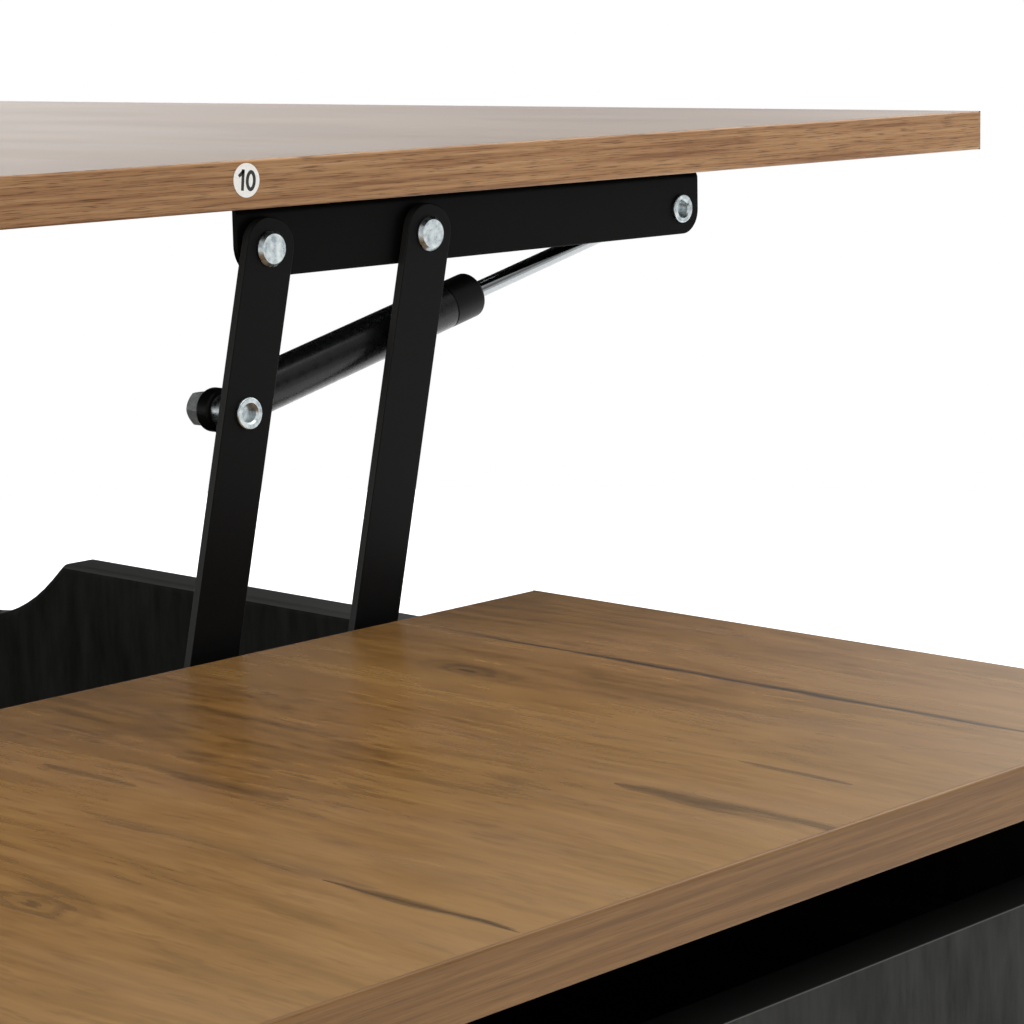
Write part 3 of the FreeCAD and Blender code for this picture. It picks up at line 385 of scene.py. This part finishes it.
def speckled(name, spec):
    mat, shader = newMaterial(name)
    place = addNode(mat, "TexCoord", {}, "Object")
    speck = addNode(mat, "TexNoise", {"Vector": place, "Scale": perMetre(spec["grainMm"]),
                                      "Detail": speckSpec["detail"]})
    colour = addNode(mat, "ValToRGB", {"Fac": speck}, ramp=[(speckSpec["from"], spec["dark"]),
                                                            (speckSpec["to"], spec["light"])])
    smooth, rough = spec["roughness"]
    gloss = addNode(mat, "MapRange", {"Value": speck, "From Min": speckSpec["from"],
                                      "From Max": speckSpec["to"], "To Min": smooth, "To Max": rough})
    # painted light: narrow faces of a sheared plate, all those that do not face along X, are painted greyer
    if "edge" in spec:
        faceX = addNode(mat, "SeparateXYZ", {0: addNode(mat, "TexCoord", {}, "Normal")}, "X")
        across = addNode(mat, "Math", {0: faceX}, operation="ABSOLUTE")
        share = addNode(mat, "MapRange", {"Value": across, **speckSpec["edgeSpan"]})
        colour = addNode(mat, "Mix", {"Factor": share, 6: colour, 7: linear(spec["edge"])}, 2,
                         data_type="RGBA")
    bump = addNode(mat, "Bump", {"Strength": spec["bump"], "Distance": speckSpec["bumpDistance"],
                                 "Height": speck})
    wire(mat, shader, {"Base Color": colour, "Roughness": gloss, "Normal": bump})
    wire(mat, shader, spec["shader"])
    return mat


# satin powder coat on sheet steel: even black with a faint orange peel
coatSpec = {"grainMm": 0.9, "dark": "060606", "light": "0a0a09", "roughness": (0.38, 0.46), "bump": 0.06,
            "shader": {"Specular IOR Level": 0.045}}
dress(speckled("black powder coat", coatSpec), "base_bracket_left", "base_bracket_right",
      "upper_bracket_left", "upper_bracket_right")

# the same coat on the arms, a little shinier, with the narrow sheared edges painted greyer: painted light,
# the light that falls on those edges
armSpec = dict(coatSpec, edge="2c2c2b", shader={"Specular IOR Level": 0.07})
dress(speckled("black powder coat, arms", armSpec), "rear_arm_left", "rear_arm_right", "front_arm_left",
      "front_arm_right")

# bright zinc plate on rivets, studs, screws, cam fittings and runners: pale grey, cool cast, soft stains
zincSpec = {"grainMm": 2.4, "dark": "929da3", "light": "d6dddc", "roughness": (0.22, 0.38), "bump": 0.0,
            "shader": {"Metallic": 1.0}}
dress(speckled("bright zinc plate", zincSpec), "lower_pivot_rivets", "upper_pivot_rivets",
      "arm_stud_flares", "rod_studs", "arm_studs", "base_bracket_screws", "upper_bracket_screws",
      "bay_runner_screws", "foot_screws", "cam_locks", "cam_bolts", "bay_runners", "upper_drawer_runners",
      "lower_drawer_runners", "upper_drawer_runner_screws", "lower_drawer_runner_screws")

# nuts have the same plate gone dull and chalky
nutSpec = {"grainMm": 1.2, "dark": "b4babb", "light": "d6dada", "roughness": (0.3, 0.4), "bump": 0.0,
           "shader": {"Metallic": 0.7}}
dress(speckled("dull zinc plate", nutSpec), "rod_stud_nuts", "arm_stud_nuts")

# hard chrome on the ground gas-spring rod: near mirror
chromeSpec = {"grainMm": 0.6, "dark": "8e9193", "light": "9a9d9e", "roughness": (0.08, 0.16), "bump": 0.0,
              "shader": {"Metallic": 1.0}}
dress(speckled("ground hard chrome", chromeSpec), "gas_spring_rods")

# half-gloss stove enamel on the gas cylinder: black with a long soft highlight
enamelSpec = {"grainMm": 2.5, "dark": "0b0c0c", "light": "101111", "roughness": (0.24, 0.32), "bump": 0.02,
              "shader": {"Specular IOR Level": 0.24}}
dress(speckled("black stove enamel", enamelSpec), "gas_cylinder_left", "gas_cylinder_right")

# moulded black nylon on caps, eyes and feet: fine spark-eroded grain, dull sheen
nylonSpec = {"grainMm": 0.5, "dark": "070707", "light": "0d0d0c", "roughness": (0.36, 0.44), "bump": 0.10,
             "shader": {"Specular IOR Level": 0.1}}
dress(speckled("moulded black nylon", nylonSpec), "cylinder_guide_caps", "cylinder_base_eyes",
      "rod_end_eyes", "feet")

# natural nylon of the pivot washers and pistons: milky, faintly yellow
washerSpec = {"grainMm": 4, "dark": "cfcbbe", "light": "dedbd0", "roughness": (0.45, 0.55), "bump": 0.0,
              "shader": {"Subsurface Weight": 0.15, "Subsurface Scale": 0.001}}
dress(speckled("natural nylon", washerSpec), "lower_pivot_washers", "upper_pivot_washers",
      "gas_spring_pistons")

# pressed wool felt under the feet: matted short fibres
feltSpec = {"grainMm": 0.8, "dark": "2a2927", "light": "4a4845", "roughness": (0.9, 1.0), "bump": 0.5,
            "shader": {"Sheen Weight": 0.3}}
dress(speckled("pressed felt", feltSpec), "foot_pads")

# polyurethane bumper dots: cloudy grey, rubbery
bumperSpec = {"grainMm": 3, "dark": "3b3b3a", "light": "4a4a48", "roughness": (0.3, 0.4), "bump": 0.0,
              "shader": {"IOR": 1.48}}
dress(speckled("polyurethane bumper", bumperSpec), "rest_bumpers")

# hardboard drawer bottoms: dark, slightly mottled, smooth face
hardboardSpec = {"grainMm": 6, "dark": "241f1b", "light": "352e28", "roughness": (0.55, 0.65), "bump": 0.05,
                 "shader": {"Specular IOR Level": 0.4}}
dress(speckled("dark hardboard", hardboardSpec), "upper_drawer_bottom", "lower_drawer_bottom")

# turned beech dowels: pale with short dark flecks
beechSpec = {"grainMm": 1.5, "dark": "a57f55", "light": "c9a376", "roughness": (0.6, 0.7), "bump": 0.1,
             "shader": {"Specular IOR Level": 0.4}}
dress(speckled("turned beech", beechSpec), "wood_dowels")
print("hardware dressed")

# round assembly sticker on the lifting top's edge band: coated paper, soft sheen, stuck on a little askew
stickerSpec = {"centre": (-0.2365, -0.0222, 0.5944), "radius": 0.0052, "sides": 64, "thick": 0.00012,
               "glue": 0.00002, "lean": 6}
paperSpec = {"grainMm": 0.7, "dark": "dcdbd7", "light": "e8e7e3", "roughness": (0.4, 0.5), "bump": 0.02,
             "shader": {"IOR": 1.45}}
stickerTurn = (math.radians(90), 0, math.radians(-90))
stickerX, stickerY, stickerZ = stickerSpec["centre"]
stickerX -= stickerSpec["glue"]


def thicken(piece, depth, mat):
    bpy.context.view_layer.objects.active = piece
    bpy.ops.object.mode_set(mode="EDIT")
    bpy.ops.mesh.select_all(action="SELECT")
    bpy.ops.mesh.extrude_region_move(TRANSFORM_OT_translate={"value": (-depth, 0, 0)})
    bpy.ops.mesh.select_all(action="SELECT")
    bpy.ops.mesh.normals_make_consistent(inside=False)
    bpy.ops.object.mode_set(mode="OBJECT")
    piece.data.materials.append(mat)


bpy.ops.object.select_all(action="DESELECT")
bpy.ops.mesh.primitive_circle_add(vertices=stickerSpec["sides"], radius=stickerSpec["radius"],
                                  fill_type="NGON", location=(stickerX, stickerY, stickerZ),
                                  rotation=stickerTurn)
sticker = bpy.context.object
sticker.name = "assembly_sticker"
bpy.ops.object.transform_apply(location=True, rotation=True, scale=True)
thicken(sticker, stickerSpec["thick"], speckled("coated label paper", paperSpec))

# plain number in heavy black figures: the nought is an oval ring, the one is a bar with a flag
numberSpec = {"tall": 0.0064, "stroke": 0.00115, "thick": 0.00002,
              "nought": {"wide": 0.0040, "sides": 40, "left": -0.0017}, "oneLeft": 0.0015,
              "flag": {"left": 0.0022, "rise": 0.3, "long": 0.42, "wide": 0.9, "roll": 48}}
inkSpec = {"grainMm": 0.5, "dark": "0c0c0c", "light": "171717", "roughness": (0.45, 0.55), "bump": 0.0,
           "shader": {"IOR": 1.45}}
stroke = numberSpec["stroke"]
tall = numberSpec["tall"]
nought = numberSpec["nought"]
flag = numberSpec["flag"]  # its rise and length are shares of the height, its width a share of the stroke
lean = math.radians(stickerSpec["lean"])
inkX = stickerX - stickerSpec["thick"]


def onSticker(left, rise):
    return (inkX, stickerY + left * math.cos(lean) - rise * math.sin(lean),
            stickerZ + left * math.sin(lean) + rise * math.cos(lean))


bpy.ops.object.select_all(action="DESELECT")
bpy.ops.mesh.primitive_circle_add(vertices=nought["sides"], radius=tall / 2, fill_type="NGON",
                                  location=onSticker(nought["left"], 0),
                                  rotation=(stickerTurn[0], lean, stickerTurn[2]))
digits = bpy.context.object
digits.name = "sticker_number"
digits.scale.x = nought["wide"] / tall
bpy.ops.object.transform_apply(location=True, rotation=True, scale=True)
bpy.ops.object.mode_set(mode="EDIT")
bpy.ops.mesh.select_all(action="SELECT")
bpy.ops.mesh.inset(thickness=stroke)
bpy.ops.mesh.delete(type="FACE")
bpy.ops.object.mode_set(mode="OBJECT")
bars = [(stroke, tall, numberSpec["oneLeft"], 0, 0),
        (stroke * flag["wide"], tall * flag["long"], flag["left"], tall * flag["rise"], flag["roll"])]
for barWide, barTall, barLeft, barRise, barRoll in bars:
    bpy.ops.mesh.primitive_plane_add(size=1, location=onSticker(barLeft, barRise),
                                     rotation=(stickerTurn[0], lean + math.radians(barRoll),
                                               stickerTurn[2]))
    bar = bpy.context.object
    bar.scale = (barWide, barTall, 1)
    bpy.ops.object.transform_apply(location=True, rotation=True, scale=True)
    digits.select_set(True)
    bpy.context.view_layer.objects.active = digits
    bpy.ops.object.join()
thicken(digits, numberSpec["thick"], speckled("black printing ink", inkSpec))
for piece in (sticker, digits):
    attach(piece, "lift_top")
print("sticker placed")
